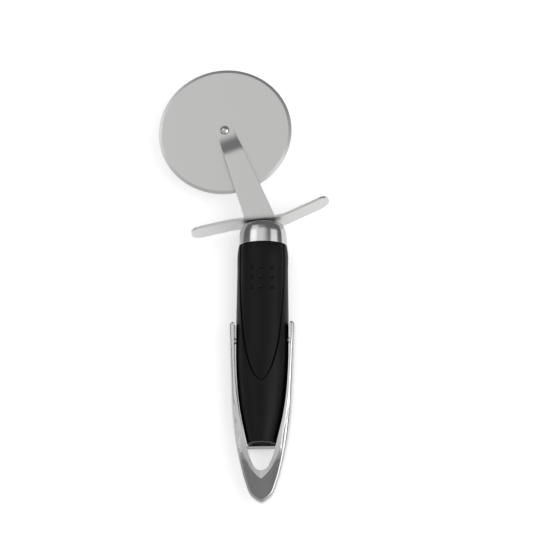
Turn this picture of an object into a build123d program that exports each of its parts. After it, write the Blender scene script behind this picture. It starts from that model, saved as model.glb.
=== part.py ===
from build123d import *
from math import cos, radians, sin, tan
import os

os.makedirs("parts", exist_ok=True)

# A single-arm pizza cutter lying on its back: +Y runs along the handle towards the wheel, +Z is the
# front. The origin is on the hang hole's axis, where it meets the surface that the cutter lies on.

# Wheel and its pivot
wheel_diameter = 65
wheel_thickness = 1
bevel_width = 1.5
rim_thickness = 0.3
bush_diameter = 5
shank_diameter = 3
rivet_head_diameter = 4.6
rivet_head_height = 1.1
tail_diameter = 4.8
tail_height = 0.9
washer_diameter = 9
washer_thickness = 0.2
running_gap = 0.05

# Stamped arm and guard, one folded sheet
sheet = 1.2
arm_tip_radius = 4.1
arm_foot_width = 14.6
arm_foot_side = 1.4
pivot_side = 18.7
pivot_rise = 46.2
step_start = 4.8
step_run = 8.4
step_rise = 3
step_bend_radius = 3
fold_radius = 0.3
fold_tilt = 3.8
guard_depth = 13
seat_half_width = 4.9
left_root_angle = 5.8
left_knee = 14.7
left_wing_angle = 12
left_wing_reach = 34.5
right_root_angle = 12.2
right_knee = 10.6
right_wing_angle = 24.7
right_wing_reach = 31.6
wing_bend_radius = 6
wing_corner_radius = 5

# Screw, washer and insert that hold the guard on the handle
screw_diameter = 4
screw_length = 40
screw_clearance = 0.2
screw_head_diameter = 7
screw_head_height = 2.4
recess_width = 1
recess_depth = 1.3
lock_washer_diameter = 6.8
lock_washer_thickness = 1
lock_washer_split = 0.8
insert_diameter = 6.4
insert_length = 12
insert_flange_diameter = 8.4
insert_flange = 1.2
insert_groove = 0.4
groove_shares = (1 / 3, 2 / 3)

# Ferrule and grip, all oval across the handle
ferrule_height = 12
ferrule_side_step = 0.9
ferrule_front_step = 0.2
ferrule_wall = 0.8
grip_length = 98
grip_width = 25
grip_depth = 18
sleeve_wall = 2
core_wall = 2
fit_gap = 0.1
panel_thickness = 0.8
panel_recess = 0.3
panel_gap = 0.3
panel_length = 68.7
panel_margin = 2.2
panel_split = 1.3
dimple_diameter = 2.1
dimple_depth = 0.5
dimple_pitch = 5
dimple_first = 13.3
dimple_rows = 3
plug_recess = 0.4
plug_thickness = 1.2
plug_spigot = 5

# Hoop round the end of the grip, with the hang hole
hole_length = 11.6
bar_thickness = 1.5
bar_depth = 1.6
bar_share = 0.61
bar_rise = 0.4
hoop_clearance = 0.25
hoop_arm_width = 3
hoop_depth = 8
hoop_arm_top = 65.2
hoop_end_wall = 15
hoop_end_depth = 4.8
inner_bevel_depth = 0.8
bevel_excess = 0.25
ridge_drop = 4.2
hoop_edge_radius = 1
pin_diameter = 3
pin_below_arm_top = 7.2
pin_in_arm = 1.4
pin_in_core = 3
overrun = 5
tolerance = 0.001
mostly_level = 0.9

# Widths that follow the grip's
ferrule_width = grip_width - 2 * ferrule_side_step
ferrule_depth = grip_depth - 2 * ferrule_front_step
panel_width = grip_width - 2 * panel_margin
hoop_width = grip_width + 2 * (hoop_clearance + hoop_arm_width)

# Heights above the surface: the guard is centred on the handle, and its front is the arm's front
axis_z = grip_depth / 2
guard_front = axis_z + guard_depth / 2
guard_rear = axis_z - guard_depth / 2
tip_rear = guard_front - sheet - step_rise
washer_gap = washer_thickness + 2 * running_gap
wheel_front = tip_rear - washer_gap
wheel_rear = wheel_front - wheel_thickness
rear_stop = wheel_rear - washer_gap

# Places along the handle
grip_end = hole_length / 2 + bar_thickness
seam = grip_end + grip_length
seat = seam + ferrule_height
guard_top = seat + sheet
neck_top = seat - ferrule_wall
pivot_y = guard_top + pivot_rise
insert_top = guard_top + lock_washer_thickness - screw_length + insert_length
cavity_top = insert_top - insert_length + insert_flange
hoop_end = -hole_length / 2 - hoop_end_wall
panel_tip = seam - panel_length
pin_height = hoop_arm_top - pin_below_arm_top

# Half widths and depths as shares, from the grip's end to the ferrule and from the seam to the top
grip_shares = [
    (0, 0.545, 0.78),
    (0.058, 0.65, 0.80),
    (0.14, 0.785, 0.84),
    (0.272, 0.925, 0.92),
    (0.385, 0.985, 0.975),
    (0.538, 1, 1),
    (0.7, 0.99, 1),
    (0.864, 0.972, 1),
    (0.97, 0.952, 0.98),
    (1, 0.915, 0.94),
]
ferrule_shares = [
    (0, 1, 1),
    (0.35, 0.99, 0.99),
    (0.62, 0.955, 0.955),
    (0.8, 0.885, 0.885),
    (0.93, 0.755, 0.755),
    (1, 0.42, 0.42),
]
# The tongue of the front and back panels, from its tip to the seam, as shares of width and length
panel_shares = [
    (0, 0),
    (0.21, 0.023),
    (0.43, 0.079),
    (0.63, 0.167),
    (0.78, 0.266),
    (0.885, 0.412),
    (1, 1),
]
# The hoop's plan, from its end to the arms' tops: outer edge, inner edge and the ridge between them
outer_shares = [
    (0, 0),
    (0.281, 0.031),
    (0.504, 0.12),
    (0.639, 0.209),
    (0.79, 0.343),
    (0.898, 0.501),
    (0.947, 0.682),
    (0.987, 0.911),
    (1, 1),
]
inner_shares = [
    (0, 0),
    (0.204, 0.015),
    (0.335, 0.054),
    (0.43, 0.098),
    (0.53, 0.165),
    (0.643, 0.256),
    (0.776, 0.366),
    (0.914, 0.55),
    (0.98, 0.689),
    (1, 0.82),
    (1, 1),
]
ridge_shares = [
    (0, 0),
    (0.41, 0.083),
    (0.6, 0.158),
    (0.715, 0.29),
    (0.825, 0.4),
    (0.925, 0.57),
    (0.975, 0.715),
    (1, 0.86),
    (1, 1),
]


def across(height):
    return Plane(origin=(0, height, axis_z), x_dir=(1, 0, 0), z_dir=(0, 1, 0))


def through_axle(height):
    return Plane(origin=(-pivot_side, pivot_y, height), x_dir=(1, 0, 0), z_dir=(0, -1, 0))


def ovals(shares, start, length, width, depth, inset):
    sections = []
    for along, wide, deep in shares:
        with BuildSketch(across(start + along * length)) as section:
            Ellipse(wide * width / 2 - inset, deep * depth / 2 - inset)
        sections.append(section.sketch)
    return sections


def grip_ovals(inset):
    return ovals(grip_shares, grip_end, grip_length, grip_width, grip_depth, inset)


def ferrule_ovals(inset, height):
    return ovals(ferrule_shares, seam, height, ferrule_width, ferrule_depth, inset)


def tongue(shares, half_width, tip, top, reach=0):
    right = [(wide * half_width, tip + along * (top - tip)) for wide, along in shares]
    if reach:
        right.append((half_width, top + reach))
    left = [(-x, y) for x, y in reversed(right[1:])]
    with BuildSketch() as plan:
        with BuildLine():
            Spline(left + right, tangents=((0, -1), (0, 1)))
            Line(right[-1], left[0])
        make_face()
    return plan.sketch


def pointed_tongue(shares, half_width, tip, top, reach):
    right = [(wide * half_width, tip + along * (top - tip)) for wide, along in shares]
    right.append((half_width, top + reach))
    with BuildSketch() as plan:
        with BuildLine():
            Spline(right)
            Line(right[-1], (0, top + reach))
            mirror(about=Plane.YZ)
        make_face()
    return plan.sketch


def save(piece, name):
    piece.part.label = name
    export_step(piece.part, f"parts/{name}.step")


pivot = (-pivot_side, pivot_y)
pivot_axis = Axis((-pivot_side, pivot_y, 0), (0, 0, 1))
bore_radius = bush_diameter / 2 + running_gap

# The wheel is flat, with a short bevel ground on both faces at its rim
with BuildPart() as wheel:
    rim = wheel_diameter / 2
    rim_land = (wheel_thickness - rim_thickness) / 2
    with BuildSketch(through_axle(wheel_rear)):
        with BuildLine():
            Polyline(
                (bore_radius, 0),
                (rim - bevel_width, 0),
                (rim, rim_land),
                (rim, wheel_thickness - rim_land),
                (rim - bevel_width, wheel_thickness),
                (bore_radius, wheel_thickness),
                close=True,
            )
        make_face()
    revolve(axis=pivot_axis)
save(wheel, "cutting_wheel")

# The bush is a little longer than the wheel and both washers, so the clenched rivet leaves them free
with BuildPart() as bush:
    with BuildSketch(Plane.XY.offset(rear_stop)):
        with Locations(pivot):
            Circle(bush_diameter / 2)
            Circle(shank_diameter / 2, mode=Mode.SUBTRACT)
    extrude(amount=tip_rear - rear_stop)
save(bush, "wheel_bush")

for washer_name, washer_z in (
    ("front_washer", wheel_front + running_gap),
    ("rear_washer", wheel_rear - running_gap - washer_thickness),
):
    with BuildPart() as washer:
        with BuildSketch(Plane.XY.offset(washer_z)):
            with Locations(pivot):
                Circle(washer_diameter / 2)
                Circle(bore_radius, mode=Mode.SUBTRACT)
        extrude(amount=washer_thickness)
    save(washer, washer_name)

# The backing disc and the clenched tail are one with the rivet's shank once it is closed
with BuildPart() as rivet:
    head_base = tip_rear + sheet
    tail_base = rear_stop - washer_thickness
    with BuildSketch(through_axle(0)):
        with BuildLine():
            head_top = (0, head_base + rivet_head_height)
            tail_end = (0, tail_base - tail_height)
            TangentArc(head_top, (rivet_head_diameter / 2, head_base), tangent=(1, 0))
            Line(head_top, tail_end)
            TangentArc(tail_end, (tail_diameter / 2, tail_base), tangent=(1, 0))
            Polyline(
                (tail_diameter / 2, tail_base),
                (washer_diameter / 2, tail_base),
                (washer_diameter / 2, rear_stop),
                (shank_diameter / 2, rear_stop),
                (shank_diameter / 2, head_base),
                (rivet_head_diameter / 2, head_base),
            )
        make_face()
    revolve(axis=pivot_axis)
save(rivet, "axle_rivet")

# The arm leans from its foot to the pivot, and steps forward from the wheel to the guard's front
tilt = radians(fold_tilt)
foot_y = guard_top + fold_radius - tan(tilt) * arm_foot_side
arm_run = (pivot_side - arm_foot_side, pivot_rise - fold_radius)
arm_length = (arm_run[0] ** 2 + arm_run[1] ** 2) ** 0.5
arm_direction = (arm_run[0] / arm_length, -arm_run[1] / arm_length, 0)
arm_side = Plane(
    origin=(-pivot_side, pivot_y, 0),
    x_dir=arm_direction,
    z_dir=(-arm_direction[1], arm_direction[0], 0),
)
along_side = 1 if arm_side.y_dir.Z > 0 else -1
fold = Plane(
    origin=(-arm_foot_side, foot_y, guard_front - sheet - fold_radius),
    x_dir=(-sin(tilt), cos(tilt), 0),
    z_dir=(cos(tilt), sin(tilt), 0),
)

with BuildPart() as arm:
    with BuildSketch(Plane.XY.offset(guard_rear)):
        with Locations(pivot):
            Circle(arm_tip_radius)
        with Locations((-arm_foot_side, foot_y)):
            Rectangle(arm_foot_width, tan(tilt) * arm_foot_width)
        make_hull()
    extrude(amount=guard_depth + overrun)
    with BuildSketch(arm_side):
        with BuildLine():
            low = along_side * (tip_rear + sheet / 2)
            high = along_side * (guard_front - sheet / 2)
            FilletPolyline(
                (-arm_tip_radius - overrun, low),
                (step_start, low),
                (step_start + step_run, high),
                (arm_length + arm_foot_width, high),
                radius=step_bend_radius,
            )
        trace(line_width=sheet)
    extrude(amount=arm_foot_width, both=True, mode=Mode.INTERSECT)
    # Guard plate and wings: one strip, flat under the screw, that rises to the right and falls to the left
    with BuildSketch(Plane.XY.offset(guard_rear)):
        with BuildLine():
            middle = seat + sheet / 2
            left_fall = tan(radians(left_root_angle)) * (left_knee - seat_half_width)
            left_tip_fall = tan(radians(left_wing_angle)) * (left_wing_reach - left_knee)
            right_rise = tan(radians(right_root_angle)) * (right_knee - seat_half_width)
            right_tip_rise = tan(radians(right_wing_angle)) * (right_wing_reach - right_knee)
            FilletPolyline(
                (-left_wing_reach, middle - left_fall - left_tip_fall),
                (-left_knee, middle - left_fall),
                (-seat_half_width, middle),
                (seat_half_width, middle),
                (right_knee, middle + right_rise),
                (right_wing_reach, middle + right_rise + right_tip_rise),
                radius=wing_bend_radius,
            )
        trace(line_width=sheet)
    extrude(amount=guard_depth)
    # The arm's foot folds back into the guard plate, along a line that tilts with the wings
    with BuildSketch(fold):
        Rectangle(overrun, overrun, align=(Align.MAX, Align.MIN))
    extrude(amount=arm_foot_width / 2, both=True, mode=Mode.SUBTRACT)
    with BuildSketch(fold):
        Circle(fold_radius + sheet)
        Circle(fold_radius, mode=Mode.SUBTRACT)
        Rectangle(
            fold_radius + sheet, fold_radius + sheet, align=(Align.MAX, Align.MIN), mode=Mode.INTERSECT
        )
    extrude(amount=arm_foot_width / 2, both=True)
    corners = arm.edges().filter_by(lambda edge: abs(edge.length - sheet) < tolerance).sort_by(Axis.X)
    fillet(corners[:2] + corners[-2:], wing_corner_radius)
    with BuildSketch(Plane.XY.offset(tip_rear)):
        with Locations(pivot):
            Circle(shank_diameter / 2)
    extrude(amount=overrun, both=True, mode=Mode.SUBTRACT)
    with BuildSketch(across(seat)):
        Circle(screw_diameter / 2 + screw_clearance)
    extrude(amount=overrun, both=True, mode=Mode.SUBTRACT)
save(arm, "arm_and_guard")

# Pan-head screw with a cross recess
with BuildPart() as screw:
    head_seat = guard_top + lock_washer_thickness
    with BuildSketch(across(head_seat)):
        Circle(screw_head_diameter / 2)
    extrude(amount=screw_head_height)
    fillet(screw.faces().sort_by(Axis.Y)[-1].edges(), screw_head_height / 2)
    with BuildSketch(across(head_seat - screw_length)):
        Circle(screw_diameter / 2)
    extrude(amount=screw_length)
    with BuildSketch(across(head_seat + screw_head_height)):
        Rectangle(screw_diameter, recess_width)
        Rectangle(recess_width, screw_diameter)
    extrude(amount=-recess_depth, mode=Mode.SUBTRACT)
save(screw, "guard_screw")

with BuildPart() as lock_washer:
    with BuildSketch(across(guard_top)):
        Circle(lock_washer_diameter / 2)
        Circle(screw_diameter / 2 + screw_clearance, mode=Mode.SUBTRACT)
        with Locations((lock_washer_diameter / 2, 0)):
            Rectangle(lock_washer_diameter, lock_washer_split, mode=Mode.SUBTRACT)
    extrude(amount=lock_washer_thickness)
save(lock_washer, "lock_washer")

# A drawn dome with a flat top, where the guard plate sits
with BuildPart() as ferrule:
    loft(ferrule_ovals(0, ferrule_height))
    loft(ferrule_ovals(ferrule_wall, ferrule_height - ferrule_wall), mode=Mode.SUBTRACT)
    with BuildSketch(across(neck_top)):
        Circle(screw_diameter / 2 + screw_clearance)
    extrude(amount=overrun, both=True, mode=Mode.SUBTRACT)
save(ferrule, "ferrule")

# The core: a hollow body in the sleeve and a neck that fills the ferrule
core_end = grip_end + plug_recess + plug_thickness
core_inset = sleeve_wall + fit_gap
core_flank = grip_width / 2 - core_inset
pin_reach = hoop_width / 2 - hoop_arm_width + pin_in_arm
pin_length = pin_reach - core_flank + pin_in_core


def side_bore(side, radius):
    with BuildPart() as bore:
        with BuildSketch(Plane.YZ.offset(side * pin_reach)):
            with Locations((pin_height, axis_z)):
                Circle(radius)
        extrude(amount=-side * pin_length)
    return bore.part


with BuildPart() as cavity:
    loft(grip_ovals(core_inset + core_wall))
    split(bisect_by=across(cavity_top), keep=Keep.BOTTOM)

with BuildPart() as core:
    loft(grip_ovals(core_inset))
    loft(ferrule_ovals(ferrule_wall + fit_gap, ferrule_height - ferrule_wall))
    add(cavity.part, mode=Mode.SUBTRACT)
    with BuildSketch(across(cavity_top)):
        Circle(insert_diameter / 2)
    extrude(amount=insert_length - insert_flange, mode=Mode.SUBTRACT)
    with BuildSketch(across(insert_top)):
        Circle(screw_diameter / 2 + screw_clearance)
    extrude(amount=neck_top + overrun - insert_top, mode=Mode.SUBTRACT)
    split(bisect_by=across(core_end), keep=Keep.TOP)
    for side in (-1, 1):
        add(side_bore(side, pin_diameter / 2), mode=Mode.SUBTRACT)
save(core, "handle_core")

# Brass insert with a flange and two grooves round it
with BuildPart() as insert:
    with BuildSketch(across(cavity_top - insert_flange)):
        Circle(insert_flange_diameter / 2)
        Circle(screw_diameter / 2, mode=Mode.SUBTRACT)
    extrude(amount=insert_flange)
    with BuildSketch(across(cavity_top)):
        Circle(insert_diameter / 2)
        Circle(screw_diameter / 2, mode=Mode.SUBTRACT)
    extrude(amount=insert_length - insert_flange)
    for share in groove_shares:
        with BuildSketch(across(cavity_top + share * (insert_length - insert_flange))):
            Circle(insert_diameter / 2)
            Circle(insert_diameter / 2 - insert_groove, mode=Mode.SUBTRACT)
        extrude(amount=insert_groove, both=True, mode=Mode.SUBTRACT)
save(insert, "core_insert")

# The sleeve round the core, with a tongue-shaped recess in its front and back
def panel_block(gap):
    plan = tongue(panel_shares, panel_width / 2 + gap, panel_tip - gap, seam)
    with BuildPart() as bed:
        loft(grip_ovals(panel_recess + panel_thickness))
    with BuildPart() as block:
        extrude(Plane.XY.offset(-overrun) * plan, amount=grip_depth + 2 * overrun)
        extrude(Plane.XY.offset(axis_z) * plan, amount=panel_split - gap, both=True, mode=Mode.SUBTRACT)
        add(bed.part, mode=Mode.SUBTRACT)
    return block.part


panel_cut = panel_block(panel_gap)
with BuildPart() as sleeve:
    loft(grip_ovals(0))
    loft(grip_ovals(sleeve_wall), mode=Mode.SUBTRACT)
    add(panel_cut, mode=Mode.SUBTRACT)
    for side in (-1, 1):
        add(side_bore(side, pin_diameter / 2), mode=Mode.SUBTRACT)
save(sleeve, "grip_sleeve")

# Front and back panels are one moulding, used twice, with dimples for the thumb
for panel_name, face_side in (("front_panel", 1), ("back_panel", -1)):
    with BuildPart() as panel:
        loft(grip_ovals(panel_recess))
        add(panel_block(0), mode=Mode.INTERSECT)
        split(bisect_by=Plane.XY.offset(axis_z), keep=Keep.TOP if face_side > 0 else Keep.BOTTOM)
        ball_radius = (dimple_diameter**2 / 4 + dimple_depth**2) / (2 * dimple_depth)
        for row in range(dimple_rows):
            for column in (-1, 0, 1):
                x = column * dimple_pitch
                rise = (grip_depth / 2 - panel_recess) * (1 - (2 * x / grip_width) ** 2) ** 0.5
                height = axis_z + face_side * rise
                centre = height + face_side * (ball_radius - dimple_depth)
                with Locations((x, seam - dimple_first - row * dimple_pitch, centre)):
                    Sphere(ball_radius, mode=Mode.SUBTRACT)
    save(panel, panel_name)

# The plug closes the sleeve's end and holds its spigot in the core
with BuildPart() as plug_body:
    loft(grip_ovals(core_inset))
    split(bisect_by=across(core_end), keep=Keep.BOTTOM)
    split(bisect_by=across(grip_end + plug_recess), keep=Keep.TOP)

with BuildPart() as plug:
    loft(grip_ovals(core_inset + core_wall + fit_gap))
    split(bisect_by=across(core_end + plug_spigot), keep=Keep.BOTTOM)
    split(bisect_by=across(core_end), keep=Keep.TOP)
    add(plug_body.part)
save(plug, "end_plug")

# The hoop is a flat ring that thins towards its end, rounded outside, with a bevel round the inside
hoop_front = axis_z + hoop_depth / 2
hoop_rear = axis_z - hoop_depth / 2
inner_half = hoop_width / 2 - hoop_arm_width
hole_bottom = -hole_length / 2
ridge_half = inner_half + hoop_arm_width / 2
ridge_end = hole_bottom - ridge_drop
arm_middle = inner_half + hoop_arm_width / 2
with BuildPart() as hoop:
    middle_plane = Plane.XY.offset(axis_z)
    extrude(
        middle_plane * tongue(outer_shares, hoop_width / 2, hoop_end, hoop_arm_top),
        amount=hoop_depth / 2,
        both=True,
    )
    with Locations((-arm_middle, hoop_arm_top, axis_z), (arm_middle, hoop_arm_top, axis_z)):
        Cylinder(hoop_arm_width / 2, hoop_depth)
    extrude(
        middle_plane * tongue(inner_shares, inner_half, hole_bottom, hoop_arm_top, hoop_arm_width),
        amount=hoop_depth,
        both=True,
        mode=Mode.SUBTRACT,
    )
    with BuildSketch(Plane.YZ):
        with BuildLine():
            Polyline(
                (hoop_end, axis_z - hoop_end_depth / 2),
                (hoop_end, axis_z + hoop_end_depth / 2),
                (hole_length / 2, hoop_front),
                (hoop_arm_top + hoop_arm_width, hoop_front),
                (hoop_arm_top + hoop_arm_width, hoop_rear),
                (hole_length / 2, hoop_rear),
                close=True,
            )
        make_face()
    extrude(amount=hoop_width, both=True, mode=Mode.INTERSECT)
    level = hoop.faces().filter_by(lambda face: abs(face.normal_at().Z) > mostly_level)
    fillet(level.edges().filter_by(lambda edge: edge.geom_type != GeomType.LINE), hoop_edge_radius)
    ridge = pointed_tongue(ridge_shares, ridge_half, ridge_end, hoop_arm_top, hoop_arm_width)
    # The bevel runs on past the inner wall, by a share of its own width and depth
    inner = pointed_tongue(
        inner_shares,
        inner_half - bevel_excess * (ridge_half - inner_half),
        hole_bottom + bevel_excess * ridge_drop,
        hoop_arm_top,
        hoop_arm_width,
    )
    for top, depth in ((hoop_front, -inner_bevel_depth), (hoop_rear, inner_bevel_depth)):
        foot = Plane.XY.offset(top + (1 + bevel_excess) * depth)
        loft([Plane.XY.offset(top) * ridge, foot * inner], ruled=True, mode=Mode.SUBTRACT)
    # The crossbar carries the grip's end, behind the middle
    with BuildSketch(Plane.XY.offset(hoop_rear + bar_rise)):
        with Locations((0, hole_length / 2)):
            Rectangle(2 * bar_share * inner_half, bar_thickness, align=(Align.CENTER, Align.MIN))
    extrude(amount=bar_depth)
    for side in (-1, 1):
        add(side_bore(side, pin_diameter / 2), mode=Mode.SUBTRACT)
save(hoop, "hanging_hoop")

with BuildPart() as pins:
    for side in (-1, 1):
        add(side_bore(side, pin_diameter / 2))
save(pins, "side_pins")
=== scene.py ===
import math

import bmesh
import bpy
import numpy as np
from mathutils import Matrix


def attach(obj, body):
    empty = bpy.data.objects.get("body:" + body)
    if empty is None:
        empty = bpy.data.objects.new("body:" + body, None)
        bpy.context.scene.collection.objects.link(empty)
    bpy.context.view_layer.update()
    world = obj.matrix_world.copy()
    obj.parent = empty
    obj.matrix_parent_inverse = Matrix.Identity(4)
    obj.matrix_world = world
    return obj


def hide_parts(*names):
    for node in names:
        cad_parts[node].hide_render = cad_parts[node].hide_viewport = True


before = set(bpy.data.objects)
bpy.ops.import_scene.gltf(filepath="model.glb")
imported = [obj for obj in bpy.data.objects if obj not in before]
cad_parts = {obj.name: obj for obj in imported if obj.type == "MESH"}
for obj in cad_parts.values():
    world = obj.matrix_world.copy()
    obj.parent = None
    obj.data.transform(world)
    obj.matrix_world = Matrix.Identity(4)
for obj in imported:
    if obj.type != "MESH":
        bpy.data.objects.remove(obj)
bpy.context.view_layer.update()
mm = 0.001


class Field:  # one socket's output; arithmetic on it adds Math nodes
    def __init__(self, finish, socket):
        self.finish = finish
        self.socket = socket

    def calc(self, operation, *values):
        return self.finish.add("ShaderNodeMath", {"operation": operation}, dict(enumerate(values)))

    def __add__(self, other):
        return self.calc("ADD", self, other)

    def __radd__(self, other):
        return self.calc("ADD", other, self)

    def __sub__(self, other):
        return self.calc("SUBTRACT", self, other)

    def __rsub__(self, other):
        return self.calc("SUBTRACT", other, self)

    def __mul__(self, other):
        return self.calc("MULTIPLY", self, other)

    def __rmul__(self, other):
        return self.calc("MULTIPLY", other, self)

    def __truediv__(self, other):
        return self.calc("DIVIDE", self, other)

    def others(self):  # every output of the same node, by name and by number
        outputs = self.socket.node.outputs
        numbered = {k: Field(self.finish, socket) for k, socket in enumerate(outputs)}
        return numbered | {socket.name: Field(self.finish, socket) for socket in outputs}

    def smooth(self, start, end):  # 0 before start, 1 past end, eased between
        inputs = {"Value": self, "From Min": start, "From Max": end}
        return self.finish.add("ShaderNodeMapRange", {"interpolation_type": "SMOOTHSTEP"}, inputs)


class Finish:  # the node tree of a material or the world
    def __init__(self, owner):
        owner.use_nodes = True
        self.owner = owner
        self.tree = owner.node_tree
        self.tree.nodes.clear()

    def add(self, kind, settings=None, inputs=None, out=0):
        node = self.tree.nodes.new(kind)
        for name, value in (settings or {}).items():
            setattr(node, name, value)
        for name, value in (inputs or {}).items():
            if isinstance(value, Field):
                self.tree.links.new(value.socket, node.inputs[name])
            else:
                node.inputs[name].default_value = value
        return Field(self, node.outputs[out]) if node.outputs else node

    def noise(self, scale, detail):  # values that wander round 0.5, on the piece's Object coordinates
        inputs = {"Vector": self.add("ShaderNodeTexCoord", out=3), "Scale": scale, "Detail": detail}
        return self.add("ShaderNodeTexNoise", inputs=inputs)

    def mixColours(self, factor, first, second):  # a Mix node's colours are its sockets 6 and 7, and output 2
        return self.add("ShaderNodeMix", {"data_type": "RGBA"}, {0: factor, 6: first, 7: second}, out=2)

    def close(self, shader):
        self.add("ShaderNodeOutputMaterial", inputs={"Surface": shader})


def grey(level):  # an opaque colour with red, green and blue at one level
    return (level, level, level, 1)


# Noises are a scale per metre and a detail; tint and haze say how far colour and roughness stray
satin = {"cloud": (60.0, 3.0), "grain": (800.0, 2.0), "tint": 0.03, "haze": 0.05}


def satinMetal(name, colour, roughness, grain):
    # Rolled or plated metal: a cloud in tint and roughness, and a fine grain in the roughness
    finish = Finish(bpy.data.materials.new(name))
    cloudy, fine = finish.noise(*satin["cloud"]), finish.noise(*satin["grain"])
    dark, light = ([part * (1 + side * satin["tint"]) for part in colour] + [1] for side in (-1, 1))
    finish.close(finish.add("ShaderNodeBsdfPrincipled", inputs={
        "Base Color": finish.mixColours(cloudy, dark, light), "Metallic": 1.0,
        "Roughness": roughness + (cloudy - 0.5) * satin["haze"] + (fine - 0.5) * grain,
    }))
    return finish.owner


moulded = {
    "cloud": (90.0, 3.0), "tint": 0.1, "haze": 0.05,
    "pits": (2600.0, 2.0), "pitStrength": 0.1, "pitDepth": 0.00003,
}


def mouldedBlack(name, level, roughness, shine):
    # Moulded black: fine pits from the mould, and a faint cloud in tint and gloss
    m = moulded
    finish = Finish(bpy.data.materials.new(name))
    cloudy, pits = finish.noise(*m["cloud"]), finish.noise(*m["pits"])
    relief = {"Strength": m["pitStrength"], "Distance": m["pitDepth"], "Height": pits}
    dark, light = grey(level * (1 - m["tint"])), grey(level * (1 + m["tint"]))
    finish.close(finish.add("ShaderNodeBsdfPrincipled", inputs={
        "Base Color": finish.mixColours(cloudy, dark, light),
        "Roughness": roughness + (cloudy - 0.5) * m["haze"],
        "Normal": finish.add("ShaderNodeBump", inputs=relief), "Specular IOR Level": shine,
    }))
    return finish.owner


# Metals: colour, roughness, grain. A roughness near 0.27 leaves speckle after the renderer's denoising.
# Blacks: level, roughness, shine.
finishes = {
    "wheel": satinMetal("wheelSteel", (0.60, 0.60, 0.595), 0.31, 0.01),
    "guard": satinMetal("guardSteel", (0.60, 0.60, 0.595), 0.31, 0.01),
    "chrome": satinMetal("plating", (0.56, 0.56, 0.56), 0.15, 0.006),
    "fastener": satinMetal("fastenerSteel", (0.58, 0.58, 0.57), 0.22, 0.02),
    "brass": satinMetal("insertBrass", (0.62, 0.46, 0.2), 0.3, 0.02),
    "rubber": mouldedBlack("gripRubber", 0.0012, 0.42, 0.2),
    "core": mouldedBlack("corePlastic", 0.002, 0.5, 0.08),
}
nodeFinish = {
    "end_plug": "core", "handle_core": "core", "core_insert": "brass", "axle_rivet": "fastener",
    "wheel_bush": "fastener", "front_washer": "fastener", "rear_washer": "fastener",
    "guard_screw": "fastener", "lock_washer": "fastener", "side_pins": "fastener",
}
for node, kind in nodeFinish.items():
    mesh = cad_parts[node].data
    mesh.materials.clear()
    mesh.materials.append(finishes[kind])
print("finishes on", len(nodeFinish), "solids")

# Shapes. Lengths are in millimetres, and become metres in makePiece; +Y runs up the handle, +Z is the front.


def curveThrough(knots, values, at):
    # Cubic pieces through the knots; the slope at a knot is that of the parabola through it and the
    # knots beside it
    knots, values, at = (np.asarray(part, float) for part in (knots, values, at))
    steps = np.diff(knots)
    rises = np.diff(values) / steps
    inner = (rises[:-1] * steps[1:] + rises[1:] * steps[:-1]) / (steps[:-1] + steps[1:])
    slopes = np.concatenate([[2 * rises[0] - inner[0]], inner, [2 * rises[-1] - inner[-1]]])
    i = np.clip(np.searchsorted(knots, at, side="right") - 1, 0, len(steps) - 1)
    t = (at - knots[i]) / steps[i]
    return (
        values[i] * (1 + 2 * t) * (1 - t) ** 2 + slopes[i] * steps[i] * t * (1 - t) ** 2
        + values[i + 1] * t * t * (3 - 2 * t) + slopes[i + 1] * steps[i] * t * t * (t - 1)
    )


def bentLine(knots, values, eases, at):
    # Straight runs between the knots, joined at each inner knot by a parabola that reaches its ease
    # either way
    slopes = np.diff(values) / np.diff(knots)
    line = values[0] + slopes[0] * (at - knots[0])
    for knot, change, ease in zip(knots[1:-1], np.diff(slopes), eases):
        past = at - knot
        bend = (past + ease) ** 2 / (4 * ease)
        line = line + change * np.where(np.abs(past) < ease, bend, np.maximum(past, 0))
    return line


def tongueEdge(shares, halfWidth, tip, top, at, pointed=False):
    # A tongue's right edge from its tip (0) to its top (1) by length; mirrored knots make the tip round
    wide = np.array([share[0] for share in shares]) * halfWidth
    along = tip + np.array([share[1] for share in shares]) * (top - tip)
    length = np.concatenate([[0], np.cumsum(np.hypot(np.diff(wide), np.diff(along)))])
    at = np.asarray(at, float) * length[-1]
    if pointed:
        return curveThrough(length, wide, at), curveThrough(length, along, at)
    both = np.concatenate([-length[:0:-1], length])
    x = curveThrough(both, np.concatenate([-wide[:0:-1], wide]), at)
    return x, curveThrough(both, np.concatenate([along[:0:-1], along]), at)


def eased(value, start, end):
    # 0 at the start, 1 at the end, level at both
    share = np.clip((value - start) / (end - start), 0, 1)
    return share * share * (3 - 2 * share)


def crowded(count, power):
    # Shares from 0 to 1 that crowd together at 0: even shares raised to a power
    return np.linspace(0, 1, count) ** power


def quarter(count):
    # Even angles over a quarter turn
    return np.linspace(0, np.pi / 2, count)


def roundedBox(low, high, radius, steps=5):
    # Section points of a box with rounded corners, anticlockwise: each corner's centre plus a quarter circle
    (left, bottom), (right, top) = np.add(low, radius), np.subtract(high, radius)
    centres = np.array([(right, top), (left, top), (left, bottom), (right, bottom)])
    turn = quarter(steps) + np.arange(4)[:, None] * np.pi / 2
    across, up = centres[:, :1] + radius * np.cos(turn), centres[:, 1:] + radius * np.sin(turn)
    return across.ravel(), up.ravel()


def quads(rows, columns, closed=False):
    # Corner numbers of the squares between a grid's points, row by row
    number = np.arange(rows * columns).reshape(rows, columns)
    if closed:
        number = np.concatenate([number, number[:, :1]], axis=1)
    corners = [number[:-1, :-1], number[:-1, 1:], number[1:, 1:], number[1:, :-1]]
    return np.stack(corners, axis=-1).reshape(-1, 4)


weld = {"merge": 2e-6, "collapse": 1e-7}  # metres: points closer than this become one, shorter edges go


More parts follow.
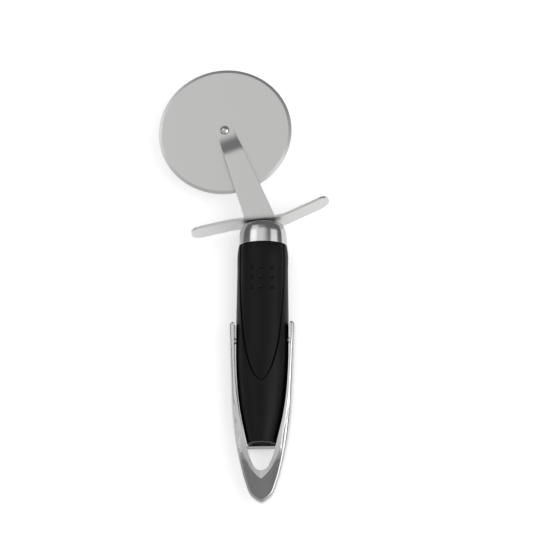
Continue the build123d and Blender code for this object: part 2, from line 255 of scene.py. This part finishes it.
def makePiece(name, body, node, finish, grid, faces=None, sharp=32):
    # A grid of rings becomes a closed surface: doubled points are merged, so a ring of equal points is a pole
    if faces is None:
        faces = quads(*grid.shape[:2], closed=True)
    mesh = bpy.data.meshes.new(name)
    mesh.from_pydata((grid.reshape(-1, 3) * mm).tolist(), [], faces.tolist())
    piece = bpy.data.objects.new(name, mesh)
    bpy.context.scene.collection.objects.link(piece)
    tidy = bmesh.new()
    tidy.from_mesh(mesh)
    bmesh.ops.remove_doubles(tidy, verts=tidy.verts, dist=weld["merge"])
    bmesh.ops.dissolve_degenerate(tidy, edges=tidy.edges, dist=weld["collapse"])
    bmesh.ops.recalc_face_normals(tidy, faces=tidy.faces)
    tidy.to_mesh(mesh)
    tidy.free()
    mesh.shade_smooth()
    mesh.set_sharp_from_angle(angle=math.radians(sharp))
    mesh.materials.append(finishes[finish])
    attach(piece, body)
    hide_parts(node)
    return piece


wheel = {
    "centre": (-18.7, 164.7), "radius": 32.5, "bevel": 1.5, "land": 0.15, "middle": 10.5, "half": 0.5,
    "bore": 2.55, "hubRing": 6, "rimRing": 8, "segments": 288,
}


def makeWheel():
    # A profile of (radius, height), bevelled at the rim, turned about the rivet's axis
    w = wheel
    flat = w["radius"] - w["bevel"]
    level = [w["bore"], w["bore"] + w["hubRing"], flat - w["rimRing"], flat]
    front = [(radius, w["half"]) for radius in level] + [(w["radius"], w["land"])]
    radius, height = np.array(front + [(r, -h) for r, h in front[::-1]] + front[:1]).T
    angle = np.linspace(0, 2 * np.pi, w["segments"], endpoint=False)
    x = w["centre"][0] + radius[:, None] * np.cos(angle)
    y = w["centre"][1] + radius[:, None] * np.sin(angle)
    z = np.repeat(w["middle"] + height[:, None], len(angle), 1)
    makePiece("wheelDisc", "wheel", "cutting_wheel", "wheel", np.stack([x, y, z], -1), sharp=9)


armAndGuard = {
    "sheet": 1.2, "rear": 2.5, "front": 15.5, "corner": 5.0, "fold": 0.9, "edge": 0.5,
    # The guard's middle line in plan, at its rear and at its front edge, and the heights it changes between
    "rearX": (-34.5, -14.7, -4.9, 4.9, 10.6, 31.6), "rearY": (112.7, 116.9, 117.9, 117.9, 119.13, 128.79),
    "frontX": (-34.5, -14.7, -8.0, 6.2, 10.6, 31.6), "frontY": (112.7, 116.9, 117.56, 118.49, 119.13, 128.79),
    "eases": (2.2, 1.5, 1.5, 2.2), "change": (11.5, 14.3), "foot": (-8.7, 5.9),
    # The arm's middle height, by distance from the rivet; past straightTo its sides lean over to the foot
    "pivot": (-18.7, 164.7), "tipRadius": 4.1, "straightTo": 38,
    "stepAt": (-5, 4.8, 13.2, 60), "stepHeight": (11.9, 11.9, 14.9, 14.9), "stepEases": (3.2, 2.0),
    # The grid: counts along the guard and up it, then up the fold and the arm, in runs of (from, to, count)
    "linePoints": 4000, "cornerColumns": 12, "wingColumns": 34, "footColumns": 21,
    "guardRows": (7, 9, 5), "lowShare": 0.7, "foldRows": 10, "tipRows": 14, "upperRows": 17,
    "armRows": ((0, 2.6, 5), (2.6, 7.0, 16), (7.0, 11.0, 5), (11.0, 15.4, 16), (15.4, 20, 4)),
    "nearly": 1e-6,  # how close counts as on the foot's end
    # The rounded edges' steps and least angle, and the angle past which the shading turns sharp
    "edgeSteps": 3, "edgeAngle": 50, "sharp": 30,
}


def guardLine(x, height):
    # The middle line's place along the handle: the rear's, easing into the front edge's
    s = armAndGuard
    rear = bentLine(s["rearX"], s["rearY"], s["eases"], x)
    front = bentLine(s["frontX"], s["frontY"], s["eases"], x)
    return rear + eased(height, *s["change"]) * (front - rear)


def guardGrid():
    # The guard's middle surface: columns by length along its line, rows between its rounded corners. The
    # cut at a corner is its radius less the circle's height. It also gives the foot's columns and fold row.
    s = armAndGuard
    fine = np.linspace(s["rearX"][0], s["rearX"][-1], s["linePoints"])
    fineY = bentLine(s["rearX"], s["rearY"], s["eases"], fine)
    length = np.concatenate([[0], np.cumsum(np.hypot(np.diff(fine), np.diff(fineY)))])
    footStart, footEnd = np.interp(s["foot"], fine, length)
    corner = s["corner"] * (1 - np.cos(quarter(s["cornerColumns"])))
    along = np.concatenate([
        corner, np.linspace(s["corner"], footStart, s["wingColumns"])[1:],
        np.linspace(footStart, footEnd, s["footColumns"])[1:],
        np.linspace(footEnd, length[-1] - s["corner"], s["wingColumns"])[1:], (length[-1] - corner)[::-1][1:],
    ])
    inset = np.clip(s["corner"] - np.minimum(along, length[-1] - along), 0, s["corner"])
    cut = s["corner"] - np.sqrt(np.maximum(s["corner"] ** 2 - inset**2, 0))
    depth = s["front"] - s["rear"]
    foldShare = (depth - s["sheet"] / 2 - s["fold"]) / depth
    low, middle, high = s["guardRows"]
    share = np.concatenate([
        np.linspace(0, s["lowShare"], low), np.linspace(s["lowShare"], foldShare, middle)[1:],
        np.linspace(foldShare, 1, high)[1:],
    ])
    height = s["rear"] + cut + share[:, None] * (depth - 2 * cut)
    x = np.repeat(np.interp(along, length, fine)[None], len(share), 0)
    inFoot = (along > footStart - s["nearly"]) & (along < footEnd + s["nearly"])
    return np.stack([x, guardLine(x, height), height], -1), inFoot, low + middle - 2


def foldGrid(root):
    # A quarter circle from each foot column of the guard up to the arm's face
    s = armAndGuard
    turn = quarter(s["foldRows"])[:, None]
    x = np.repeat(root[None, :, 0], len(turn), 0)
    along, height = root[:, 1] + s["fold"] * (1 - np.cos(turn)), root[:, 2] + s["fold"] * np.sin(turn)
    return np.stack([x, along, height], -1)


def armSide(corner, axis, square, shared):
    # Round the tip, then straight to the corner: the line through the corner that touches the tip's circle
    s = armAndGuard
    cornerAlong, cornerAcross = (corner - np.array(s["pivot"])) @ np.stack([axis, square], -1)
    side = np.sign(cornerAcross)
    angle = math.atan2(cornerAcross, cornerAlong)
    angle -= side * math.asin(s["tipRadius"] / math.hypot(cornerAlong, cornerAcross))
    along = np.concatenate([shared, np.linspace(shared[-1], cornerAlong, s["upperRows"])[1:]])
    straight = cornerAcross + np.tan(angle) * (along - cornerAlong)
    tip = side * np.sqrt(np.maximum(s["tipRadius"] ** 2 - along**2, 0))
    return along, np.where(along < -s["tipRadius"] * np.sin(angle) * side, tip, straight)


def armGrid(foot):
    # Rows by distance from the rivet, columns shared out between the arm's two sides, as on the foot's line
    s = armAndGuard
    pivot = np.array(s["pivot"])
    ends = foot[[0, -1], :2]
    axis = ends.mean(0) - pivot
    axis /= np.linalg.norm(axis)
    square = np.array([-axis[1], axis[0]])
    tip = -s["tipRadius"] * np.cos(quarter(s["tipRows"]))
    shared = np.concatenate([tip] + [np.linspace(*run)[1:] for run in s["armRows"]])
    (leftAlong, leftAcross), (rightAlong, rightAcross) = (armSide(end, axis, square, shared) for end in ends)
    share = (foot[:, 0] - foot[0, 0]) / (foot[-1, 0] - foot[0, 0])
    far = leftAlong[:, None] + (rightAlong - leftAlong)[:, None] * share
    out = leftAcross[:, None] + (rightAcross - leftAcross)[:, None] * share
    plan = pivot + far[..., None] * axis + out[..., None] * square
    plan += eased(far, s["straightTo"], far[-1].min())[..., None] * (foot[:, :2] - plan[-1])
    return np.concatenate([plan, bentLine(s["stepAt"], s["stepHeight"], s["stepEases"], far)[..., None]], -1)


def makeArm():
    # One bent sheet: a grid along the guard and a grid up the arm, joined at the foot's fold, then thickened
    s = armAndGuard
    guard, inFoot, foldRow = guardGrid()
    fold = foldGrid(guard[foldRow][inFoot])
    tongue = np.concatenate([fold, armGrid(fold[-1])[-2::-1]])
    cells = quads(*guard.shape[:2]).reshape(guard.shape[0] - 1, -1, 4)
    keep = np.ones(cells.shape[:2], bool)
    keep[foldRow:, inFoot[:-1] & inFoot[1:]] = False
    points = np.concatenate([guard.reshape(-1, 3), tongue.reshape(-1, 3)])
    faces = np.concatenate([cells[keep], quads(*tongue.shape[:2]) + guard[..., 0].size])
    piece = makePiece("armAndGuard", "handle", "arm_and_guard", "guard", points, faces)
    wall = piece.modifiers.new("sheet", "SOLIDIFY")
    wall.thickness = s["sheet"] * mm
    wall.offset = 0
    wall.use_even_offset = True
    soft = piece.modifiers.new("edges", "BEVEL")
    soft.width = s["edge"] * mm
    soft.segments = s["edgeSteps"]
    soft.limit_method = "ANGLE"
    soft.angle_limit = math.radians(s["edgeAngle"])
    graph = bpy.context.evaluated_depsgraph_get()
    mesh = bpy.data.meshes.new_from_object(piece.evaluated_get(graph))
    piece.modifiers.clear()
    piece.data = mesh
    mesh.shade_smooth()
    mesh.set_sharp_from_angle(angle=math.radians(s["sharp"]))


ferrule = {
    "bottom": 105.3, "height": 12.0, "halfWidth": 11.6, "halfDepth": 8.8, "axis": 9.0,
    "shares": [(0, 1), (0.12, 0.999), (0.35, 0.99), (0.62, 0.955), (0.8, 0.885), (0.93, 0.755), (1, 0.5)],
    "rows": 60, "crowding": 0.9, "columns": 192,
}


def makeFerrule():
    # Ovals that shrink up the dome; rows crowd together where it turns over
    f = ferrule
    share = np.sin(quarter(f["rows"])) ** f["crowding"]
    size = curveThrough([knot[0] for knot in f["shares"]], [knot[1] for knot in f["shares"]], share)
    along = np.concatenate([[0], share, [1]])[:, None] * f["height"] + f["bottom"]
    size = np.concatenate([[0], size, [0]])[:, None]
    angle = np.linspace(0, 2 * np.pi, f["columns"], endpoint=False)
    x = f["halfWidth"] * size * np.sin(angle)
    z = f["axis"] + f["halfDepth"] * size * np.cos(angle)
    rings = np.stack([x, np.repeat(along, len(angle), 1), z], -1)
    makePiece("ferruleDome", "handle", "ferrule", "chrome", rings, sharp=40)


grip = {
    "end": 7.3, "seam": 105.3, "halfWidth": 12.5, "halfDepth": 9.0, "axis": 9.0, "widestShare": 0.999,
    # Place along the grip, then its width and depth, as shares
    "shares": [
        (0, 0.545, 0.78), (0.058, 0.65, 0.80), (0.14, 0.785, 0.84), (0.272, 0.925, 0.92),
        (0.385, 0.985, 0.975), (0.538, 1, 1), (0.7, 0.99, 1), (0.864, 0.972, 1), (0.975, 0.958, 0.985),
        (1, 0.928, 0.95),
    ],
}


def gripOval(along):
    # Half width and half depth of the grip at a place along the handle
    g = grip
    share = (along - g["end"]) / (g["seam"] - g["end"])
    knots, *sizes = zip(*g["shares"])
    wide, deep = (curveThrough(knots, size, share) for size in sizes)
    return g["halfWidth"] * wide, g["halfDepth"] * deep


def onGrip(x, along, inset):
    # The grip's front surface, moved inwards along its slope across the handle
    wide, deep = gripOval(along)
    u = np.clip(x / wide, -grip["widestShare"], grip["widestShare"])
    slope = deep * u / (wide * np.sqrt(1 - u * u))
    lean = np.sqrt(1 + slope * slope)
    return np.stack([x - inset * slope / lean, along, deep * np.sqrt(1 - u * u) - inset / lean], -1)


panel = {
    "halfWidth": 10.3, "tip": 36.6, "top": 105.3, "sunk": 0.3, "thick": 0.8, "edge": 0.5, "edgeDrop": 0.4,
    "gap": 0.3,
    "shares": [(0, 0), (0.21, 0.023), (0.43, 0.079), (0.63, 0.167), (0.78, 0.266), (0.885, 0.412), (1, 1)],
    "dimpleRows": (92.4, 87.4, 82.4), "dimpleColumns": (-4.8, 0.15, 5.1), "dimpleRadius": 1.1,
    "dimpleDepth": 0.5,
    # The grid: rows crowd at the tip, and are fine where the dimples are
    "outlinePoints": 3000, "crowding": 1.5, "tipRows": 60, "fineFrom": 79, "fineTo": 95.5, "fineStep": 0.14,
    "topFrom": 95.6, "topRows": 12, "columns": 161, "rimSteps": 6,
}


def panelEdge(rows, margin):
    # The panel's half width at each row, with its outline moved outwards by the margin
    p = panel
    at = crowded(p["outlinePoints"], p["crowding"])
    x, y = tongueEdge(p["shares"], p["halfWidth"] + margin, p["tip"] - margin, p["top"], at)
    return np.interp(rows, y, x)


def dimpleSink(x, along):
    # A bowl's depth inside the nearest dimple's circle: 1 less the square of the distance, by the radius
    p = panel
    columns, rows = np.array(p["dimpleColumns"]), np.array(p["dimpleRows"])[:, None]
    far = np.hypot(x[..., None, None] - columns, along[..., None, None] - rows) / p["dimpleRadius"]
    return p["dimpleDepth"] * (1 - np.minimum(far.min((-2, -1)), 1) ** 2)


def makePanels():
    # Across each row: wall, rounded rim, face and back again; the dimples lower the face
    p = panel
    at = crowded(p["tipRows"], p["crowding"])
    tipRows = tongueEdge(p["shares"], p["halfWidth"], p["tip"], p["top"], at)[1]
    rows = np.concatenate([
        tipRows[tipRows < p["fineFrom"]], np.arange(p["fineFrom"], p["fineTo"], p["fineStep"]),
        np.linspace(p["topFrom"], p["top"], p["topRows"]),
    ])
    edge = panelEdge(rows, 0.0)
    flat = np.maximum(edge - p["edge"], 0)
    x = np.linspace(-1, 1, p["columns"]) * flat[:, None]
    along = np.repeat(rows[:, None], x.shape[1], 1)
    face = onGrip(x, along, p["sunk"] + dimpleSink(x, along))
    rim = []
    for turn in quarter(p["rimSteps"]):
        out = flat + (edge - flat) * np.sin(turn)
        drop = p["sunk"] + p["edgeDrop"] * (1 - np.cos(turn))
        rim.append([onGrip(side * out, rows, drop) for side in (-1, 1)])
    deepest = onGrip(edge, rows, p["sunk"] + p["thick"]) * (0, 1, 1)
    foot = [deepest + edge[:, None] * (side, 0, 0) for side in (-1, 1)]
    left, right = (np.stack([pair[k] for pair in rim] + [foot[k]], axis=1) for k in (0, 1))
    cross = np.concatenate([left[:, ::-1], face, right], axis=1)
    cross = np.concatenate([cross, np.repeat(cross[-1].mean(0)[None, None], cross.shape[1], 1)])
    for name, node, side in (("thumbPanel", "front_panel", 1), ("palmPanel", "back_panel", -1)):
        placed = cross * (1, 1, side) + (0, 0, grip["axis"])
        makePiece(name, "handle", node, "rubber", placed, sharp=50)


sleeve = {
    "lip": 0.35, "brow": 0.3, "browReach": 0.28, "browLean": 0.3, "bed": 1.15, "steepest": 0.995,
    "mouth": 0.8, "mouthSize": (0.72, 1, 0.78),
    # The grid: rows on the lip, up to near the panel's tip, and beside the panel; columns of bed and skin
    "lipRows": (0.0, 0.08, 0.3, 0.62, 1.0), "plainGap": 1, "plainRows": 44, "panelRows": 110,
    "rowCrowding": 1.4, "bedColumns": 8, "skinColumns": 64, "skinCrowding": 1.6,
}


def fullRing(part, left, behind):
    # The quarter at the front right, then those behind it, behind on the left and at the front left; left
    # and behind are 1 or -1, the value's sign there
    return np.concatenate([
        part, behind * part[:, -2::-1], left * behind * part[:, 1:], left * part[:, -2:0:-1],
    ], 1)


def makeSleeve():
    # Rings across the handle: a quarter is the panel's bed, its rounded brow, then the oval skin
    g, p, s = grip, panel, sleeve
    spread = crowded(s["panelRows"], s["rowCrowding"])
    high = tongueEdge(p["shares"], p["halfWidth"] + p["gap"], p["tip"] - p["gap"], p["top"], spread)[1]
    rows = np.concatenate([
        g["end"] + s["lip"] * np.array(s["lipRows"]),
        np.linspace(g["end"] + s["plainGap"], p["tip"] - s["plainGap"], s["plainRows"]), high,
    ])
    edge = np.where(rows > p["tip"] - p["gap"], panelEdge(rows, p["gap"]), 0.0)
    wide, deep = gripOval(rows)
    short = np.clip(1 - (rows - g["end"]) / s["lip"], 0, 1)
    roll = s["lip"] * (1 - np.sqrt(1 - short**2))
    wide, deep = (wide - roll)[:, None], (deep - roll)[:, None]
    start = np.arcsin(np.clip(edge[:, None] / wide, 0, s["steepest"]))
    reach = crowded(s["skinColumns"], s["skinCrowding"]) * (np.pi / 2 - start)
    fromBrow = np.clip(1 - reach * wide / s["browReach"], 0, 1)
    brow = s["brow"] * (1 - np.sqrt(1 - fromBrow**2)) * (edge > 0)[:, None]
    skinX = (wide - brow * s["browLean"]) * np.sin(start + reach)
    skinZ = (deep - brow) * np.cos(start + reach)
    bedX = np.linspace(0, 1, s["bedColumns"]) * edge[:, None]
    bedZ = deep * np.sqrt(1 - (bedX / wide) ** 2) - np.where(edge > 0, s["bed"], 0.0)[:, None]
    x = fullRing(np.concatenate([bedX, skinX], 1), -1, 1)
    z = fullRing(np.concatenate([bedZ, skinZ], 1), 1, -1)
    rings = np.stack([x, np.repeat(rows[:, None], x.shape[1], 1), z], -1)
    mouth = rings[0] * s["mouthSize"]
    deeper = mouth + (0, s["mouth"], 0)
    closed = [np.repeat(ring.mean(0)[None], len(ring), 0) for ring in (deeper, rings[-1])]
    rings = np.concatenate([closed[0][None], deeper[None], mouth[None], rings, closed[1][None]])
    placed = rings + (0, 0, g["axis"])
    makePiece("gripSleeve", "handle", "grip_sleeve", "rubber", placed, sharp=50)


hoop = {
    "halfWidth": 15.5, "innerHalf": 13.1, "ridgeHalf": 13.55, "corner": 1.3, "axis": 9.0,
    "end": -20.8, "holeEnd": -5.8, "ridgeEnd": -10.0, "top": 66.7,
    "depthAt": (-20.8, 5.8, 66.7), "halfDepths": (2.4, 4.0, 4.0), "depthEases": (9.0,),
    "roundAt": (-21, 1, 20, 36, 67), "round": (1.2, 1.35, 2.4, 2.2, 1.6), "leastBand": 0.35,
    "bevelTilt": 0.06, "edge": 0.22, "waist": 0.35, "waistAt": (8, 20), "endLoss": 0.25,
    # Three edges from the middle of the end to the arm's top: width and length, as shares
    "outer": [
        (0, 0), (0.281, 0.031), (0.504, 0.12), (0.639, 0.209), (0.79, 0.343), (0.898, 0.501), (0.947, 0.682),
        (0.987, 0.911), (1, 1),
    ],
    "inner": [
        (0, 0), (0.199, 0.015), (0.327, 0.055), (0.42, 0.098), (0.518, 0.163), (0.643, 0.256), (0.776, 0.366),
        (0.914, 0.55), (0.98, 0.689), (1, 0.82), (1, 1),
    ],
    "ridge": [
        (0, 0), (0.41, 0.083), (0.6, 0.158), (0.715, 0.29), (0.825, 0.4), (0.925, 0.57), (0.975, 0.715),
        (1, 0.86), (1, 1),
    ],
    # A crease along each arm, from a dart beside the hang hole: places along the handle, then its middle,
    # half width and depth, outwards from the ridge
    "crease": {"from": 2.9, "full": 6.5, "fade": 16.0, "to": 32.0, "at": 0.75, "half": 0.6, "depth": 0.3},
    # Two lines down the flat end, past which its sides fall away, and the places between which that ends
    "facet": {"top": (5.4, -5.5), "bottom": (2.9, -19.0), "fall": 0.045, "ends": (-6.5, -0.5)},
    # The grid: rows in runs of (from, to, count) and over the arm's top, then columns of roll, band and bevel
    "rows": ((0, 0.5, 190), (0.5, 1, 70)), "topRows": 18, "rollColumns": 22, "rollCrowding": 1.4,
    "bandColumns": 45, "bandCrowding": 1.5, "bevelColumns": 7,
}


def hoopHalfDepth(y):
    # The hoop thins from the hang hole to its end
    return bentLine(hoop["depthAt"], hoop["halfDepths"], hoop["depthEases"], y)


def insideRidge(plan, ridge):
    # Distance from the ridge towards the hole, square to the ridge: the distance across, times the
    # ridge's upright share
    step = np.gradient(ridge, axis=0)
    across = np.interp(plan[..., 1], ridge[:, 1], ridge[:, 0]) - plan[..., 0]
    return across * np.interp(plan[..., 1], ridge[:, 1], step[:, 1] / np.hypot(*step.T))


def hoopFace(plan, ridge):
    # Half depth of the face, less the crease's trough beside the ridge and the fall of the flat end's sides
    c, f = hoop["crease"], hoop["facet"]
    x, y = plan[..., 0], plan[..., 1]
    strength = eased(y, c["from"], c["full"]) * (1 - eased(y, c["fade"], c["to"]))
    aside = np.abs(-insideRidge(plan, ridge) - c["at"])
    crease = c["depth"] * strength * eased(aside, c["half"], 0)
    share = np.clip((y - f["bottom"][1]) / (f["top"][1] - f["bottom"][1]), 0, 1)
    line = f["bottom"][0] + (f["top"][0] - f["bottom"][0]) * share
    fall = f["fall"] * np.clip(x - line, 0, None) * (1 - eased(y, *f["ends"]))
    return hoopHalfDepth(y) - (crease + fall)


def roundedTop(section):
    # The arm's top is round: its last section shrinks towards its middle as it moves up
    h = hoop
    turn = quarter(h["topRows"])[1:, None]
    rows = np.repeat(section[None], len(turn), 0)
    middle = (h["halfWidth"] + h["innerHalf"]) / 2
    rows[..., 0] = middle + (rows[..., 0] - middle) * np.cos(turn)
    rows[..., 1] += h["corner"] * np.sin(turn)
    rows[..., 2] *= 1 - h["endLoss"] * (1 - np.cos(turn))
    return rows


def makeHoop():
    # Sections along the hoop: quarter circle at the outside, band, ridge, bevel, then the inner wall; the
    # rear half and the left arm are mirrored from them
    h = hoop
    at = np.concatenate([np.linspace(*h["rows"][0]), np.linspace(*h["rows"][1])[1:]])
    reach = h["top"] - h["corner"]
    outer = np.stack(tongueEdge(h["outer"], h["halfWidth"], h["end"], reach, at), -1)
    inner = np.stack(tongueEdge(h["inner"], h["innerHalf"], h["holeEnd"], reach, at), -1)
    ridge = np.stack(tongueEdge(h["ridge"], h["ridgeHalf"], h["ridgeEnd"], reach, at, pointed=True), -1)
    edgeward = np.gradient(outer, axis=0)
    inward = np.stack([-edgeward[:, 1], edgeward[:, 0]], -1) / np.hypot(*edgeward.T)[:, None]
    room = np.linalg.norm(ridge - outer, axis=-1)[:, None] - h["leastBand"]
    radius = np.minimum(curveThrough(h["roundAt"], h["round"], outer[:, 1])[:, None], room)
    turn = np.pi / 2 * (1 - crowded(h["rollColumns"], h["rollCrowding"])[::-1])
    roll = outer[:, None] + inward[:, None] * (radius * (1 - np.cos(turn)))[..., None]
    roll[..., 0] = np.maximum(roll[..., 0], 0)
    start = roll[:, -1:]
    share = 1 - crowded(h["bandColumns"], h["bandCrowding"])[-2::-1, None]
    band = start + (ridge[:, None] - start) * share
    bevel = ridge[:, None] + (inner - ridge)[:, None] * np.linspace(0, 1, h["bevelColumns"])[1:, None]
    bevelTop = hoopHalfDepth(bevel[..., 1]) - h["bevelTilt"] * insideRidge(bevel, ridge)
    level = np.zeros((len(at), 1))
    waist = inner - np.concatenate([h["waist"] * eased(inner[:, 1:], *h["waistAt"]), level], 1)
    plan = np.concatenate([outer[:, None], roll, band, bevel, inner[:, None], waist[:, None]], axis=1)
    top = np.concatenate([
        level, hoopFace(roll, ridge) - radius * (1 - np.sin(turn)), hoopFace(band, ridge), bevelTop,
        bevelTop[:, -1:] - h["edge"], level,
    ], axis=1)
    front = np.concatenate([plan, top[..., None]], -1)
    ring = np.concatenate([front, front[:, -2:0:-1] * (1, 1, -1)], axis=1)
    ring = np.concatenate([ring, roundedTop(ring[-1])])
    whole = np.concatenate([ring[::-1] * (-1, 1, 1), ring[1:]]) + (0, 0, h["axis"])
    makePiece("hangingHoop", "handle", "hanging_hoop", "chrome", whole, sharp=24)


crossbar = {
    "halfLength": 7.4, "low": (5.8, 5.4), "high": (7.3, 7.0), "round": 0.3, "tilt": 0.22, "tiltAbove": 6.2,
}


def makeCrossbar():
    # A rounded box between the hoop's arms, with its front tilted towards the hole
    c = crossbar
    y, z = roundedBox(c["low"], c["high"], c["round"])
    z = z + np.where(z > c["tiltAbove"], c["tilt"] * (y - c["high"][0]), 0)
    x = c["halfLength"] * np.array([-1, -1, 0, 1, 1])[:, None]
    grow = np.array([0, 1, 1, 1, 0])[:, None]
    y, z = (part.mean() + grow * (part - part.mean()) for part in (y, z))
    grid = np.stack([x + 0 * y, y, z], -1)
    makePiece("hoopCrossbar", "handle", "hanging_hoop", "chrome", grid, sharp=40)


makeWheel()
makeArm()
makeFerrule()
print("wheel, arm and guard, ferrule made")
makePanels()
makeSleeve()
makeHoop()
makeCrossbar()
print("grip and hoop made")

studio = {
    "ambient": 0.62, "room": 0.18,
    # Soft cards that shine in metal, in degrees: turned to the right about the handle, and raised up along it
    "cards": [
        {"level": 1.1, "turn": (-54, -46, -24, -8), "rise": (3, 7, 40, 46)},
        {"level": 1.75, "turn": (-52, -46, -30, -4), "rise": (18, 19.5, 27, 32)},
        {"level": 1.02, "turn": (-24, -16, -5, 30), "rise": (8.5, 12, 26, 54)},
        {"level": 0.65, "turn": (-70, -55, 55, 70), "rise": (-70, -50, 0, 5)},
        {"level": 0.45, "turn": (-86, -80, 80, 86), "rise": (11, 13, 18, 19.5)},
        {"level": 1.3, "turn": (10, 14, 24, 30), "rise": (1, 4, 9, 12)},
        {"level": 1.0, "turn": (-86, -80, -62, -50), "rise": (-5, 0, 12, 17)},
        {"level": 1.2, "turn": (26, 34, 56, 66), "rise": (0, 8, 26, 36)},
    ],
    "flattest": 0.02,  # least upright share of a direction, so that a card's turn can be worked out
    "lamp": {"place": (0.76, -0.05, 0.86), "aim": (0, 0.06, 0), "size": (1.05, 0.85), "power": 3.8},
    "floor": {"half": 4.0, "drop": 0.0002, "colour": 0.88, "lift": 0.46},
}


def between(value, limits, measure):
    # 1 between the inner limits and 0 outside the outer ones; measure turns an angle into the value's terms
    a, b, c, d = (measure(math.radians(limit)) for limit in limits)
    return value.smooth(a, b) * (1 - value.smooth(c, d))


def makeWorld():
    # Even light, and in its place the brightest card in a dim room for glossy rays. Generated coordinates,
    # the coordinate node's first output, are the ray's direction here.
    world = bpy.data.worlds.new("studio")
    bpy.context.scene.world = world
    finish = Finish(world)
    parts = finish.add("ShaderNodeSeparateXYZ", inputs={0: finish.add("ShaderNodeTexCoord")}).others()
    across = parts[0] / parts[2].calc("MAXIMUM", parts[2], studio["flattest"])
    level = studio["room"]
    for card in studio["cards"]:
        turned, raised = between(across, card["turn"], math.tan), between(parts[1], card["rise"], math.sin)
        shine = card["level"] * turned * raised
        level = shine.calc("MAXIMUM", shine, level)
    glossy = finish.add("ShaderNodeLightPath").others()["Is Glossy Ray"]
    cards = finish.add("ShaderNodeCombineColor", inputs={0: level, 1: level, 2: level})
    seen = finish.mixColours(glossy, grey(studio["ambient"]), cards)
    background = finish.add("ShaderNodeBackground", inputs={"Color": seen, "Strength": 1.0})
    finish.add("ShaderNodeOutputWorld", inputs={"Surface": background})


def makeFloor():
    # Pale and matt, and lifted towards white where it is seen or mirrored
    f = studio["floor"]
    mesh = bpy.data.meshes.new("floor")
    corners = [(x, y, -f["drop"]) for y in (-f["half"], f["half"]) for x in (-f["half"], f["half"])]
    mesh.from_pydata(corners, [], [(0, 1, 3, 2)])
    floor = bpy.data.objects.new("floor", mesh)
    bpy.context.scene.collection.objects.link(floor)
    finish = Finish(bpy.data.materials.new("paleFloor"))
    rays = finish.add("ShaderNodeLightPath").others()
    seen = rays["Is Camera Ray"] + rays["Is Glossy Ray"] + rays["Is Transmission Ray"]
    matt = finish.add("ShaderNodeBsdfDiffuse", inputs={"Color": grey(f["colour"])})
    lift = finish.add("ShaderNodeEmission", inputs={"Color": grey(1.0), "Strength": seen * f["lift"]})
    finish.close(finish.add("ShaderNodeAddShader", inputs={0: matt, 1: lift}))
    mesh.materials.append(finish.owner)


def placeThing(name, data, right, up, back, where):
    # The matrix's columns are the thing's own right, up and back, then its place in metres
    thing = bpy.data.objects.new(name, data)
    bpy.context.scene.collection.objects.link(thing)
    matrix = np.eye(4)
    matrix[:3] = np.stack([right, up, back, where], -1)
    thing.matrix_world = Matrix(matrix.tolist())
    return thing


def makeLamp():
    # A softbox at its place, facing its aim, with its long side across the handle
    values = studio["lamp"]
    lamp = bpy.data.lights.new("softbox", "AREA")
    lamp.shape = "RECTANGLE"
    lamp.size, lamp.size_y = values["size"]
    lamp.energy = values["power"]
    back = np.array(values["place"]) - np.array(values["aim"])
    back /= np.linalg.norm(back)
    right = np.cross((0, 1, 0), back)
    right /= np.linalg.norm(right)
    placeThing("softbox", lamp, right, np.cross(back, right), back, values["place"])


camera = {
    # The photograph's camera, worked out from the wheel's ellipse: sensor and lens in millimetres
    "sensor": 36, "lens": 164.03, "nearest": 0.01, "shift": (-0.0013, 0.0006),
    "right": (0.99686, 0.00460, -0.07903), "up": (0.02137, 0.94565, 0.32448),
    "back": (0.07623, -0.32515, 0.94258), "place": (0.09349, -0.28928, 1.11791),
}


def makeCamera():
    # A long lens, placed and turned as the dictionary says
    lens = bpy.data.cameras.new("camera")
    lens.sensor_width = camera["sensor"]
    lens.lens = camera["lens"]
    lens.clip_start = camera["nearest"]
    lens.shift_x, lens.shift_y = camera["shift"]
    turned = [camera[side] for side in ("right", "up", "back")]
    bpy.context.scene.camera = placeThing("camera", lens, *turned, camera["place"])


makeWorld()
makeFloor()
makeLamp()
makeCamera()
bpy.context.scene.view_settings.view_transform = "Standard"
print("studio ready")
